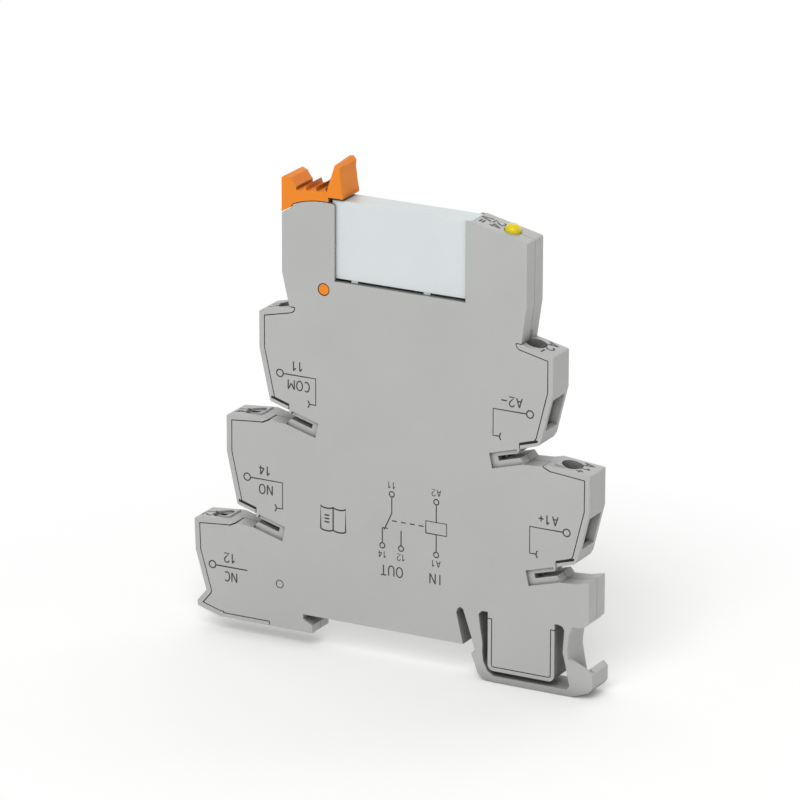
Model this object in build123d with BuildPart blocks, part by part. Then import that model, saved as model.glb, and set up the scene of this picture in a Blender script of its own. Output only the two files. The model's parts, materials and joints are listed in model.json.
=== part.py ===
# Slim relay module for a 35 mm mounting rail: housing, plug-in relay, lever, terminals and board.
# Millimetres. X runs along the module towards the coil terminals, Y along the rail,
# Z away from the rail. The origin is the middle of the rail seat, in the module's mid-plane.
from build123d import *
import os
from math import sin, cos, radians, sqrt

# Housing
width = 6.2              # over both side faces
plate = 1.0              # thickness of each side plate
wall = 0.95              # edge walls, and the rim that shows round each terminal
foot_rim = 0.68          # narrower rim round the foot block and below the lowest terminal
seam = 0.1               # gap between the two shells
line_gap = 0.18          # the line that shows between the front plate and the rims
play = 0.1               # gap between neighbouring hard pieces
running = 0.05           # radial clearance of a pin in its hole
half = width / 2
inside = half - plate    # inner face of each side plate

# Rail seat and hook
rail = 35.2              # from the hook's back wall to the latch nose
hook_x = -rail / 2
flange = 0.86            # height of the groove for the rail's flange
hook_lip = 1.9
hook_drop = 1.04
base_z = -3.36           # lowest edge of the case beside the rail
seat_end = 15.1

# Towers and relay bay
tower_x = -21.7
tower_knee_z = 64.4
tower_foot = (-20.2, 57.95)
bay_floor = 64.1
bay_left = -11.05
bay_right = 15.2
relay_top = 79.1
roof_start = (16.4, relay_top)
roof_end = (27.1, relay_top - 2.4)
tower_right_x = 27.3
tower_right_knee_z = 65.0
tower_right_foot = (26.3, 58.0)
lever_wall_top = 68.0    # the left tower's end wall stops here so that the lever can swing out
notch_x = tower_x + 2.2  # the lever's finger lip hangs over the tower up to here

# Lever
pivot = (-13.25, 62.3)
pivot_d = 2.1
horn_gap = 0.4           # between the relay and the hook over it
horn_z = relay_top + horn_gap
head_r = horn_z - pivot[1] - 0.85   # underside of the head, about the pivot
lip_r = head_r - 0.55    # underside of the finger lip
head_floor = horn_z + 0.5
lever_gap = 0.15
stem = 3.4
stem_left = -16.0
toe_x = -8.3
toe_top = 64.45
lever_t = 3.7            # thickness of the stem
toe_t = 2.0              # thickness of the toe where it reaches under the relay

# Relay
relay_l = 28.0
relay_t = 5.0
relay_x = 2.05           # middle of the relay
standoff = 0.5
case_wall = 0.5
relay_play = 0.1
base_t = 1.6
pin_w = 1.0
pin_t = 0.5
pin_l = 3.6
pin_nc = -5.4
pin_com = -1.5
pin_no = 2.4
pin_coil = (9.5, 13.4)
nub_x = (-7.3, 7.2)       # the case's small feet
nub_w = 1.3

# Relay mechanism
leaf = 0.35              # contact strips
leaf_w = 2.4
blade_x = -5.9
contact_pitch = 1.3      # from the moving blade to each fixed strip
contact_d = 1.6
touch = 0.05             # closed contacts and card ends
case_z = bay_floor + standoff
base_top = case_z + base_t
room = relay_top - case_wall - base_top   # height inside the case, above its base
armature_x = -0.3
armature_t = 0.8
hinge_z = base_top + 0.275 * room
card_z = relay_top - case_wall - 1.4
contact_z = card_z - 0.13 * room
core_z = base_top + 0.58 * room
core_h = 0.24 * room
core_w = 1.4
coil_l = 12.4
coil_h = 0.516 * room
flange_t = 0.6
winding_h = coil_h - 0.8
winding_w = 3.4
yoke_t = 0.8
pole_gap = 0.45

# Terminals: screw axis on the sloping top, and the step from one level to the next
tilt = 12.4
left_axis = (-22.05, 57.5)
left_step = (-6.85, -20.8)
left_names = ["11", "14", "12"]
right_axis = (27.75, 57.55)
right_step = (7.45, -20.85)
right_names = ["a2", "a1"]
right_sink = 1.5         # the coil side's screws sit this much deeper
hole_d = 3.9
sleeve_w = 2.4           # half the width of the sleeve round a screw's head
head_d = 3.5
head_depth = 0.7
head_t = 1.6
slot_w = 0.7
slot_depth = 0.9
shank_d = 2.5
travel = 2.4             # lift of the clamp when the screw is turned home
yoke_plate = 1.6         # threaded top of the clamp
cage_w = 4.0
cage_in = 2.6
cage_l = 4.4
jaw_t = 1.0
bar_depth = 8.0          # top of the current bar below the terminal's top
bar_t = 1.0
bar_w = 2.4
wire_gap = 3.5           # between the bar and the open clamp's jaw
entry_w = 4.6
entry_h = 6.2
entry_taper = 8

# Current bars
run_t = 0.8
run_w = 1.2
run_y = 0.3              # the bars pass each other this far either side of the mid-plane
finger = 0.3
grip = 2.6               # height of a socket's fingers
socket_drop = 3.4        # from the bay floor to the foot of a socket

# Rims round the terminals, measured from each screw axis
rim_end = 2.85
rim_top = 0.45

# Bridging channels, measured from the screw axis of the terminal above
channel = [(-1.85, -17.85), (1.55, -18.9), (1.95, -19.9), (6.25, -21.1),
           (6.0, -21.95), (1.75, -20.75), (0.95, -21.72), (-2.25, -21.5), (-4.05, -21.05)]
recess = [(2.25, -19.05), (7.65, -20.6), (7.05, -23.4), (1.05, -21.72)]
recess_depth = 0.6
slit = 0.36
slit_line = [(-1.95, -16.75), (1.55, -17.75)]
bridge_u = 5.45          # contact strip across the channel's slot
bridge_below = 2.0
branch_u = 7.45
branch_v = -16.0
bridge_t = 0.6
bridge_w = 1.6

# Foot
latch_x = 17.55
strip_t = 1.2
strip_z = -6.2           # underside of the foot
tab_x = 41.0
web = 1.0                # front web of the release tab
block_left = 20.07
block_right = 33.4
block_z = -4.06
block_r = 1.2
slot_top = 6.5
corner_x = 40.2
corner_z = 7.0

# Board and lamp
board_t = 0.8
board_y = 0.6
board = [(9.0, 24.0), (18.4, 24.0), (18.4, 59.5), (25.4, 61.0), (25.4, 73.6), (18.0, 73.6),
         (18.0, 61.6), (15.5, 59.2), (9.0, 59.2)]
lamp_x = 22.9
lamp_d = 3.0
lamp_flange = 3.8
post_d = 2.4
pin_post_d = 1.4


def step(axis, shift, n):
    return (axis[0] + shift[0] * n, axis[1] + shift[1] * n)


left_terminals = [(name, step(left_axis, left_step, n), -1, 0.0)
                  for n, name in enumerate(left_names)]
right_terminals = [(name, step(right_axis, right_step, n), 1, right_sink)
                   for n, name in enumerate(right_names)]
terminals = left_terminals + right_terminals
bridged = [t for t in terminals if t[0] != "12"]


def beside(axis, side, offsets):
    # offsets are drawn for a left terminal, and turned over for a right one
    return [(axis[0] - side * u, axis[1] + v) for u, v in offsets]


def radius_z(r, x):
    return pivot[1] + sqrt(r * r - (x - pivot[0]) ** 2)


def roof_z(x):
    slope = (roof_end[1] - roof_start[1]) / (roof_end[0] - roof_start[0])
    return roof_start[1] + slope * (x - roof_start[0])


# Outer form of one terminal, from its top corner down its end, from the screw axis
shoulder = [(-4.05, -0.9), (-4.35, -1.15), (-4.35, -7.9), (-2.45, -16.5), (-2.2, -17.7)]
right_shoulder = [(-4.7, -0.95), (-4.85, -1.15), (-4.85, -7.85), (-2.65, -16.75), (-2.1, -17.7)]


def body_points():
    # Clockwise from the left tower's top corner, round the right side and back along the bottom
    points = [(bay_right, bay_floor), (bay_right, roof_start[1]), roof_start, roof_end]
    points += [(tower_right_x, roof_end[1] - 0.2), (tower_right_x, tower_right_knee_z)]
    points += [tower_right_foot]
    for name, axis, side, sink in right_terminals:
        points += beside(axis, side, right_shoulder)
        points += beside(axis, side, channel)
    points += [(corner_x, channel_end(right_terminals[-1])[1] + 0.2), (corner_x, corner_z + 1.3)]
    points += [(corner_x - 0.8, corner_z + 0.4), (corner_x - 1.9, corner_z)]
    points += [(14.5, corner_z), (13.95, 6.6), (13.7, 5.8)]
    points += [(seat_end, 0.0), (hook_x, 0.0), (hook_x, -flange)]
    points += [(hook_x + hook_lip, -flange - hook_drop), (hook_x + hook_lip, base_z)]
    low = left_terminals[-1][1]
    heel = [(0.85, base_z - low[1]), (-3.75, -17.9), (-3.85, -16.9), (-1.95, -14.6)]
    points += [(low[0] + u, low[1] + v) for u, v in heel]
    points += [(low[0] - 4.15, low[1] - 7.0)]
    for name, axis, side, sink in reversed(left_terminals):
        outer = shoulder if name != "12" else shoulder[:2]
        if name != "12":
            points += reversed(beside(axis, side, channel))
        points += reversed(beside(axis, side, outer))
    points += [tower_foot, (tower_x, tower_knee_z)]
    points += [(tower_x, horn_z), (bay_left - 0.4, horn_z)]
    points += [(bay_left - 0.4, radius_z(head_r - lever_gap, bay_left - 0.4))]
    points += [(bay_left, relay_top - 1), (bay_left, bay_floor)]
    return points


def channel_end(terminal):
    return beside(terminal[1], terminal[2], channel)[-1]


def polygon(points):
    # A filled outline, drawn in its own flat frame: first number along X, second along Z
    with BuildSketch() as sketch:
        with BuildLine():
            Polyline(*points, close=True)
        make_face()
    return sketch.sketch


def strip(points, thickness, bend):
    # A flat metal strip seen from its edge, bent round small radii
    with BuildSketch() as sketch:
        with BuildLine() as line:
            FilletPolyline(*points, radius=bend)
        trace(line.line, line_width=thickness)
    return sketch.sketch


def straight(start, end, thickness):
    with BuildSketch() as sketch:
        with BuildLine() as line:
            Line(start, end)
        trace(line.line, line_width=thickness)
    return sketch.sketch


def layer(shape, y0, y1, mode=Mode.ADD):
    # Extrudes a flat outline through the module, from y0 in front to y1 behind
    with BuildSketch(Plane.XZ.offset(-y1)) as face:
        add(shape)
    extrude(face.sketch, amount=y1 - y0, mode=mode)


def local(axis, side, u, w):
    # u runs inward along a terminal's sloping top and w down its screw axis
    x = axis[0] - side * (u * cos(radians(tilt)) + w * sin(radians(tilt)))
    z = axis[1] + u * sin(radians(tilt)) - w * cos(radians(tilt))
    return (x, z)


def block(axis, side, u0, u1, w0, w1):
    corners = [(u0, w0), (u1, w0), (u1, w1), (u0, w1)]
    return polygon([local(axis, side, u, w) for u, w in corners])


def down_plane(axis, side, w):
    # A plane across a screw axis, facing up and out of the terminal
    x, z = local(axis, side, 0, w)
    lean = (side * sin(radians(tilt)), 0, cos(radians(tilt)))
    return Plane(origin=(x, 0, z), x_dir=(0, 1, 0), z_dir=lean)


def outside_arc(x0, x1, radius):
    # What lies beyond an arc about the lever's pivot, from x0 to x1
    low = pivot[1] + 0.7 * radius
    high = horn_z + 1
    with BuildSketch() as sketch:
        add(polygon([(x0, low), (x1, low), (x1, high), (x0, high)]))
        with Locations(pivot):
            Circle(radius, mode=Mode.SUBTRACT)
    return sketch.sketch


# Outlines that both shells share. The left tower's top follows the underside of the lever
with BuildSketch() as body:
    add(polygon(body_points()))
    add(outside_arc(tower_x - 1, notch_x, lip_r - lever_gap), mode=Mode.SUBTRACT)
    add(outside_arc(notch_x, bay_left - 0.4, head_r - lever_gap), mode=Mode.SUBTRACT)
    with BuildSketch(mode=Mode.PRIVATE) as foot_block:
        with BuildLine():
            Polyline((block_left, corner_z), (block_right, corner_z), (block_right, block_z),
                     (block_left, block_z), close=True)
        make_face()
        fillet(foot_block.vertices().group_by(Axis.Y)[0], radius=block_r)
    add(foot_block.sketch)


def band(amount):
    # The edge of the case's outline, to a given depth
    with BuildSketch() as sketch:
        add(body.sketch)
        with BuildSketch(mode=Mode.PRIVATE) as core:
            add(body.sketch)
            offset(amount=-amount, mode=Mode.REPLACE)
        add(core.sketch, mode=Mode.SUBTRACT)
    return sketch.sketch


def zone(grow):
    # Where the back shell's rim comes forward round each terminal
    g = grow
    with BuildSketch() as sketch:
        for name, axis, side, sink in terminals:
            if name in ("11", "a2"):
                inner = [(rim_end + g, rim_top + g)]
            else:
                inner = [(rim_end + 1.45 + g, rim_top + g), (rim_end + 1.45 + g, -0.55 - g),
                         (rim_end + g, -1.25 - g)]
            end = [(rim_end + g, -12), (slit_line[1][0] + g, -12), (slit_line[1][0] + g, -19.3)]
            outer = [(-9 - g, -19.3), (-9 - g, rim_top + g)]
            add(polygon(beside(axis, side, inner + end + outer)))
    return sketch.sketch


def low_zone(grow):
    # Where the narrow rim runs: below the lowest terminal and round the foot block
    low = left_terminals[-1][1]
    left = (low[0] - 8, low[0] + 11.1 + grow)
    with BuildSketch() as sketch:
        add(polygon([(left[0], base_z - 2), (left[1], base_z - 2), (left[1], low[1] - 12),
                     (left[0], low[1] - 12)]))
        add(polygon([(block_left - 0.4, block_z - 1), (block_right + 0.4, block_z - 1),
                     (block_right + 0.4, 5.7 + grow), (block_left - 0.4, 5.7 + grow)]))
    return sketch.sketch


with BuildSketch() as rim:
    add(band(wall))
    add(zone(0), mode=Mode.INTERSECT)
with BuildSketch() as low_rim:
    add(band(foot_rim))
    add(low_zone(0), mode=Mode.INTERSECT)
with BuildSketch() as front_face:
    # The front plate stops just inside the back shell's rims, which leaves a fine line
    add(body.sketch)
    with BuildSketch(mode=Mode.PRIVATE) as cut:
        add(band(wall + line_gap))
        add(zone(line_gap), mode=Mode.INTERSECT)
    add(cut.sketch, mode=Mode.SUBTRACT)
    with BuildSketch(mode=Mode.PRIVATE) as low_cut:
        add(band(foot_rim + line_gap))
        add(low_zone(line_gap), mode=Mode.INTERSECT)
    add(low_cut.sketch, mode=Mode.SUBTRACT)
with BuildSketch() as front_walls:
    add(band(wall))
    add(zone(seam), mode=Mode.SUBTRACT)
    add(low_zone(seam), mode=Mode.SUBTRACT)

# The relay bay's inner walls stand just clear of the relay's two ends
relay_end_left = relay_x - relay_l / 2
relay_end_right = relay_x + relay_l / 2
groove_half = relay_t / 2 + relay_play
rib_near = relay_end_right + relay_play
rib_far = rib_near + wall
rib_top = roof_z(rib_far) - wall / 2
bay_rib = polygon([(bay_right, bay_floor - wall), (rib_far, bay_floor - wall), (rib_far, rib_top),
                   (rib_near, rib_top), (rib_near, bay_floor), (bay_right, bay_floor)])


def box(x0, x1, y0, y1, z0, z1, mode=Mode.ADD):
    layer(polygon([(x0, z0), (x1, z0), (x1, z1), (x0, z1)]), y0, y1, mode)


def relay_pins():
    return [pin_nc, pin_com, pin_no] + list(pin_coil)


def bay_cuts():
    # The groove that holds the relay's ends, the pin holes and the lever's way in
    side = groove_half
    box(relay_end_left - relay_play, relay_end_right + relay_play, -side, side,
        bay_floor, relay_top + 4, Mode.SUBTRACT)
    for x in relay_pins():
        box(x - pin_t / 2 - 0.2, x + pin_t / 2 + 0.2, -pin_w / 2 - 0.3, pin_w / 2 + 0.3,
            bay_floor - 2 * wall, bay_floor + 1, Mode.SUBTRACT)
    box(relay_end_left - 2 * wall, toe_x + 0.4, -inside, inside,
        bay_floor - 2 * wall, bay_floor + 1, Mode.SUBTRACT)


def lever_cuts():
    # The left tower is open at its end and top, between its two cheeks, for the lever to swing
    box(tower_x - 1, pivot[0] + 4, -inside, inside, lever_wall_top, lever_wall_top + 20,
        Mode.SUBTRACT)
    with BuildSketch(Plane.XZ.offset(-half)) as hole:
        with Locations(pivot):
            Circle(pivot_d / 2 + running)
    extrude(hole.sketch, amount=width, mode=Mode.SUBTRACT)


def bridge_cuts():
    # Each bridging slot lets its contact strip cross it
    for name, axis, side, sink in bridged:
        x = axis[0] - side * bridge_u
        z = axis[1] + channel[3][1]
        box(x - bridge_t / 2 - play, x + bridge_t / 2 + play, -bridge_w / 2 - play,
            bridge_w / 2 + play, z - bridge_below - 2 * play, z + 3, Mode.SUBTRACT)


def slits():
    # The dark slit above each bridging channel, between the plate and the rim
    (u0, v0), (u1, v1) = slit_line
    line = [(u0, v0), (u1, v1), (u1, v1 - slit), (u0, v0 - slit)]
    for name, axis, side, sink in bridged:
        layer(polygon(beside(axis, side, line)), -half, -half + 3 * plate, Mode.SUBTRACT)


def lamp_plane():
    slope = (roof_end[1] - roof_start[1]) / (roof_end[0] - roof_start[0])
    across = Vector(-slope, 0, 1).normalized()
    return Plane(origin=(lamp_x, 0, roof_z(lamp_x)), x_dir=(0, 1, 0), z_dir=across)


def lamp_cut():
    with BuildSketch(lamp_plane().offset(-wall - 3)) as hole:
        Circle(lamp_d / 2 + play)
    extrude(hole.sketch, amount=wall + 4, mode=Mode.SUBTRACT)
    with BuildSketch(lamp_plane().offset(-wall - 3)) as seat:
        Circle(lamp_flange / 2 + play)
    extrude(seat.sketch, amount=3, mode=Mode.SUBTRACT)


def sleeve_depth(sink):
    return head_depth + head_t + sink


def bar_top(sink):
    return bar_depth + sink


def cage_end(sink):
    return bar_top(sink) + bar_t + wire_gap + jaw_t


def terminal_ribs():
    # Screw sleeves and the ribs that guide each clamp, with a gap where the bar passes
    rib = cage_l / 2 + 3 * play
    with BuildSketch() as sketch:
        for name, axis, side, sink in terminals:
            add(block(axis, side, -sleeve_w, sleeve_w, wall / 2, sleeve_depth(sink)))
            add(block(axis, side, -rib - wall, -rib, wall / 2, bar_top(sink) - 0.6))
            add(block(axis, side, rib, rib + wall, 3 * wall, bar_top(sink) - 2 * play))
            add(block(axis, side, rib, rib + wall, bar_top(sink) + bar_t + 2 * play,
                      cage_end(sink) + 1.6))
    return sketch.sketch


def terminal_cuts(name, axis, side, sink):
    # Screwdriver hole, and the mouth for the wire in the sloping end
    with BuildSketch(down_plane(axis, side, sleeve_depth(sink) + 2)) as bore:
        Circle(hole_d / 2)
    extrude(bore.sketch, amount=sleeve_depth(sink) + 4, mode=Mode.SUBTRACT)
    with BuildSketch(entry_point(axis, side).offset(-play)) as mouth:
        Rectangle(entry_w, entry_h)
    extrude(mouth.sketch, amount=2.2 * wall, taper=entry_taper, mode=Mode.SUBTRACT)


def entry_point(axis, side):
    # Middle of the sloping end face, facing into the terminal
    ends = right_shoulder if side > 0 else shoulder
    top, bottom = ends[2], ends[3]
    du, dv = top[0] - bottom[0], top[1] - bottom[1]
    middle = (0.5 * top[0] + 0.5 * bottom[0], 0.52 * top[1] + 0.48 * bottom[1])
    x, z = beside(axis, side, [middle])[0]
    inward = Vector(-side * dv, 0, -du).normalized()
    return Plane(origin=(x, 0, z), x_dir=(0, 1, 0), z_dir=inward)


posts = [(-10.0, 40.0), (-22.3, 5.0), (-12.0, 18.0), (14.0, 12.0)]


# Front shell: the printed side plate, half of each shared wall, and the sprung foot
arm_left = [(14.5, corner_z), (15.05, 6.7), (15.25, 6.2), (17.2, 0.47), (latch_x, -flange)]
nose = [(latch_x + 0.2, -flange), (latch_x - 0.8, -1.4), (latch_x - 0.05, -3.3),
        (latch_x + 0.55, -5.0), (19.2, -5.85), (21.5, strip_z + 0.1), (27.3, strip_z),
        (34.0, strip_z - 0.05), (37.3, strip_z + 0.15)]
tab = [(40.3, -4.9), (tab_x, -4.0), (tab_x, -1.35), (40.2, -0.6)]
web_top = [(36.2, 0.7)]
pocket = [(39.9, -0.75), (37.9, -3.3), (36.9, -2.95), (36.2, 0.7)]
arm_right_out = [(35.95, 2.2), (36.3, 5.4), (36.9, corner_z)]
arm_right_in = [(34.2, corner_z), (35.0, 6.75), (35.35, 6.1), (35.05, 1.9), (35.6, -0.2),
                (36.45, -4.2), (35.9, strip_z + strip_t)]
arm_left_in = [(21.3, strip_z + strip_t), (20.1, -4.3), (19.2, -2.6), (19.0, -1.0), (19.0, 1.0),
               (18.6, 3.4), (18.2, 6.2), (18.5, 6.7), (19.0, corner_z)]
root_top = corner_z + 1.4
arm_root = [(19.0, root_top), (14.5, root_top)]


def foot_outline(with_web):
    end = tab[:3] + web_top if with_web else tab + pocket
    points = arm_left + nose + end + arm_right_out
    points += [(36.9, root_top), (34.2, root_top)] + arm_right_in + arm_left_in + arm_root
    return polygon(points)


def roots(grow):
    with BuildSketch() as sketch:
        for x0, x1 in ((14.5, 19.0), (34.2, 36.9)):
            add(polygon([(x0 - grow, corner_z - 1), (x1 + grow, corner_z - 1),
                         (x1 + grow, root_top + grow), (x0 - grow, root_top + grow)]))
    return sketch.sketch


with BuildPart() as front_shell:
    layer(front_face.sketch, -half, -inside)
    layer(front_walls.sketch, -inside, -seam / 2)
    layer(bay_rib, -inside, -seam / 2)
    with BuildSketch(Plane.XZ.offset(inside)):
        # Hollow locating posts
        with Locations(*posts):
            Circle(post_d / 2)
            Circle(pin_post_d / 2 + running, mode=Mode.SUBTRACT)
    extrude(amount=-(inside - seam / 2))
    for name, axis, side, sink in bridged:
        layer(polygon(beside(axis, side, recess)), -half, -half + recess_depth, Mode.SUBTRACT)
    slits()
    bay_cuts()
    lever_cuts()
    bridge_cuts()
    lamp_cut()
    layer(foot_outline(True), -half, -half + web)
    layer(foot_outline(False), -half + web, inside - seam)
    with BuildSketch() as foot_back:
        add(foot_outline(False))
        add(polygon([(10, 6.8), (45, 6.8), (45, 12), (10, 12)]), mode=Mode.SUBTRACT)
    layer(foot_back.sketch, inside - seam, half)
front_shell.part.label = "front_shell"

# Back shell: the other side plate, and the rims, screw sleeves and wire mouths of the terminals
with BuildSketch() as rims:
    add(rim.sketch)
    add(low_rim.sketch)
    add(roots(seam), mode=Mode.SUBTRACT)
with BuildSketch() as rear_inner:
    add(rims.sketch)
    add(terminal_ribs())
with BuildSketch() as rear_walls:
    add(rear_inner.sketch)
    add(band(wall))
    add(bay_rib)
    add(roots(seam), mode=Mode.SUBTRACT)

with BuildPart() as rear_shell:
    layer(body.sketch, inside, half)
    layer(rear_walls.sketch, seam / 2, inside)
    layer(rear_inner.sketch, -inside + play, seam / 2)
    layer(rims.sketch, -half, -inside + play)
    with BuildSketch(Plane.XZ.offset(-inside)) as pegs:
        with Locations(*posts):
            Circle(pin_post_d / 2)
    extrude(pegs.sketch, amount=2 * inside - play)
    for name, axis, side, sink in terminals:
        terminal_cuts(name, axis, side, sink)
    slits()
    bay_cuts()
    lever_cuts()
    bridge_cuts()
    lamp_cut()
rear_shell.part.label = "rear_shell"

# Lever: pivot pins, toe under the relay, stem between the tower's cheeks, and the ribbed head
head_left = tower_x - 0.05
arc_end = pivot[0] + 0.95
arc_start = notch_x
lip_in = arc_start - 0.5
hook_x1 = -9.4           # the hook's tip over the relay
head_top = [(head_left, horn_z + 2.5), (-20.85, horn_z + 3.0), (-19.9, horn_z + 2.6),
            (-19.3, horn_z + 1.7), (-18.8, horn_z + 1.1), (-18.8, head_floor),
            (-12.6, head_floor + 0.5), (hook_x1, head_floor + 0.2), (hook_x1, horn_z), (arc_end, horn_z)]
horn_face = [(-9.95, 5.3), (-10.05, 4.1), (-9.85, 2.8), (-9.7, 1.5), (hook_x1, 0.0)]
horn_front = [(-12.8, 0.0), (-11.7, 3.4), (-11.0, 5.6), (-10.5, 5.75)] + horn_face
horn_back = [(-15.9, 0.0), (-13.05, 4.4), (-11.3, 5.9), (-10.5, 6.0)] + horn_face
rib_x = [-17.0, -14.9, -12.9]
rib_h = 0.7
stem_points = [(pivot[0] - 2.0, pivot[1] + 0.3), (stem_left, 66.5), (stem_left, horn_z - 0.5),
               (stem_left + stem, horn_z - 0.5), (stem_left + stem, 65.6), (-11.6, 63.6),
               (-10.4, 62.9), (toe_x - 1.2, toe_top), (toe_x, toe_top), (toe_x, 62.7),
               (-9.4, 61.3), (pivot[0] + 0.6, pivot[1] - 1.95), (pivot[0] - 1.6, pivot[1] - 1.2)]



def horn(points):
    # A section of the horn, raised from the floor of the head
    return polygon([(x, head_floor + z) for x, z in points])


with BuildPart() as eject_lever:
    layer(polygon(stem_points), -lever_t / 2, lever_t / 2)
    for y0, y1 in ((-lever_t, -toe_t / 2), (toe_t / 2, lever_t)):
        box(bay_left - 0.2, toe_x + 1, y0, y1, bay_floor - 0.8, toe_top + 1, Mode.SUBTRACT)
    with BuildSketch(Plane.XZ.offset(-half)) as head:
        with BuildLine():
            ThreePointArc((arc_end, radius_z(head_r, arc_end)), (-16, radius_z(head_r, -16)),
                          (arc_start, radius_z(head_r, arc_start)))
            Line((arc_start, radius_z(head_r, arc_start)), (lip_in, radius_z(lip_r, lip_in)))
            ThreePointArc((lip_in, radius_z(lip_r, lip_in)), (-20.9, radius_z(lip_r, -20.9)),
                          (head_left, radius_z(lip_r, head_left)))
            Polyline((head_left, radius_z(lip_r, head_left)), *head_top,
                     (arc_end, radius_z(head_r, arc_end)))
        make_face()
    extrude(head.sketch, amount=width)
    with BuildSketch(Plane.XZ.offset(half)) as horn_a:
        add(horn(horn_front))
    with BuildSketch(Plane.XZ.offset(-half)) as horn_b:
        add(horn(horn_back))
    loft([horn_a.sketch, horn_b.sketch], ruled=True)
    for x in rib_x:
        layer(polygon([(x - 0.5, horn_z + 0.4), (x, head_floor + 0.35 + rib_h), (x + 0.35, horn_z + 0.4)]),
              -half, half)
    with BuildSketch(Plane.XZ.offset(-half + running)) as pin:
        with Locations(pivot):
            Circle(pivot_d / 2)
    extrude(pin.sketch, amount=width - 2 * running)
eject_lever.part.label = "eject_lever"

# Relay: case and base
in_left = relay_end_left + case_wall
in_right = relay_end_right - case_wall
in_half = relay_t / 2 - case_wall
with BuildPart() as relay_case:
    box(relay_end_left, relay_end_right, -relay_t / 2, relay_t / 2, case_z, relay_top)
    fillet(relay_case.edges().filter_by(Axis.Z), radius=0.35)
    fillet(relay_case.faces().sort_by(Axis.Z)[-1].edges(), radius=0.25)
    for x in nub_x:
        box(x - nub_w / 2, x + nub_w / 2, -relay_t / 2 + running, relay_t / 2 - running,
            bay_floor + running, case_z)
    box(in_left, in_right, -in_half, in_half, case_z - 1, relay_top - case_wall, Mode.SUBTRACT)
relay_case.part.label = "relay_case"

with BuildPart() as relay_base:
    box(in_left + running, in_right - running, -in_half + running, in_half - running,
        case_z, base_top)
    for x in relay_pins():
        box(x - pin_t / 2 - running, x + pin_t / 2 + running, -pin_w / 2 - running,
            pin_w / 2 + running, case_z - 1, base_top + 1, Mode.SUBTRACT)
relay_base.part.label = "relay_base"

# Relay: coil, core, yoke and armature
armature_front = armature_x + armature_t / 2
pole_x = armature_front + pole_gap
flange_x = pole_x + 0.4
flange_end = flange_x + coil_l
yoke_x = flange_end + 0.2
yoke_z = hinge_z - 0.2
with BuildPart() as relay_bobbin:
    for x in (flange_x, flange_end - flange_t):
        box(x, x + flange_t, -1.9, 1.9, core_z - coil_h / 2, core_z + coil_h / 2)
    box(flange_x, flange_end, -core_w / 2 - 0.35, core_w / 2 + 0.35,
        core_z - core_h / 2 - 0.35, core_z + core_h / 2 + 0.35)
    box(flange_x - 1, flange_end + 1, -core_w / 2 - running, core_w / 2 + running,
        core_z - core_h / 2 - running, core_z + core_h / 2 + running, Mode.SUBTRACT)
relay_bobbin.part.label = "relay_bobbin"

with BuildPart() as relay_winding:
    with BuildSketch(Plane.YZ.offset(flange_x + flange_t + running)) as turns:
        with Locations((0, core_z)):
            RectangleRounded(winding_w, winding_h, 1.2)
            Rectangle(core_w + 0.8, core_h + 0.8, mode=Mode.SUBTRACT)
    extrude(turns.sketch, amount=coil_l - 2 * flange_t - 2 * running)
relay_winding.part.label = "relay_winding"

with BuildPart() as relay_core:
    box(pole_x, yoke_x, -core_w / 2, core_w / 2, core_z - core_h / 2, core_z + core_h / 2)
relay_core.part.label = "relay_core"

with BuildPart() as relay_yoke:
    layer(polygon([(armature_front + 0.2, yoke_z), (armature_front + 0.2, yoke_z - yoke_t),
                   (yoke_x + yoke_t, yoke_z - yoke_t), (yoke_x + yoke_t, core_z + core_h / 2),
                   (yoke_x, core_z + core_h / 2), (yoke_x, yoke_z)]), -1.7, 1.7)
relay_yoke.part.label = "relay_yoke"

with BuildPart() as relay_armature:
    x0 = armature_x - armature_t / 2
    box(x0, armature_front, -1.7, 1.7, hinge_z - 0.3, card_z - 0.8)
    box(x0, armature_front, -leaf_w / 2, leaf_w / 2, card_z - 0.8, card_z + 0.6)
relay_armature.part.label = "relay_armature"

# Relay: contacts and the card that works them
blade_foot = 68.0
blade_t = 0.25
button_t = 0.35
nc_x = blade_x - contact_pitch
no_x = blade_x + contact_pitch
pin_foot = case_z - pin_l
contact_top = card_z - 0.8


def contact_button(x0, x1):
    # A round contact facing along X
    with BuildSketch(Plane.YZ.offset(x0)) as disc:
        with Locations((0, contact_z)):
            Circle(contact_d / 2)
    extrude(disc.sketch, amount=x1 - x0)


def contact_strip(pin_x, x, jog_z, top_z):
    # A pin below the base that jogs sideways and stands up as a contact strip
    box(pin_x - pin_t / 2, pin_x + pin_t / 2, -pin_w / 2, pin_w / 2, pin_foot, jog_z)
    layer(strip([(pin_x, base_top), (pin_x, jog_z), (x, jog_z), (x, top_z)], leaf, leaf),
          -pin_w / 2, pin_w / 2)


with BuildPart() as contact_nc:
    contact_strip(pin_nc, nc_x, 66.7, contact_top)
    contact_button(nc_x, blade_x - blade_t / 2 - button_t - touch)
contact_nc.part.label = "contact_nc"

with BuildPart() as contact_no:
    contact_strip(pin_no, no_x, 68.2, contact_top)
    contact_button(no_x - leaf / 2 - 0.2, no_x)
contact_no.part.label = "contact_no"

with BuildPart() as common_pin:
    contact_strip(pin_com, blade_x, 67.4, blade_foot - touch)
common_pin.part.label = "common_pin"

with BuildPart() as contact_blade:
    box(blade_x - blade_t / 2, blade_x + blade_t / 2, -leaf_w / 2, leaf_w / 2,
        blade_foot, card_z + 0.6)
    contact_button(blade_x - blade_t / 2 - button_t, blade_x + blade_t / 2 + button_t)
contact_blade.part.label = "contact_blade"

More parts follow.
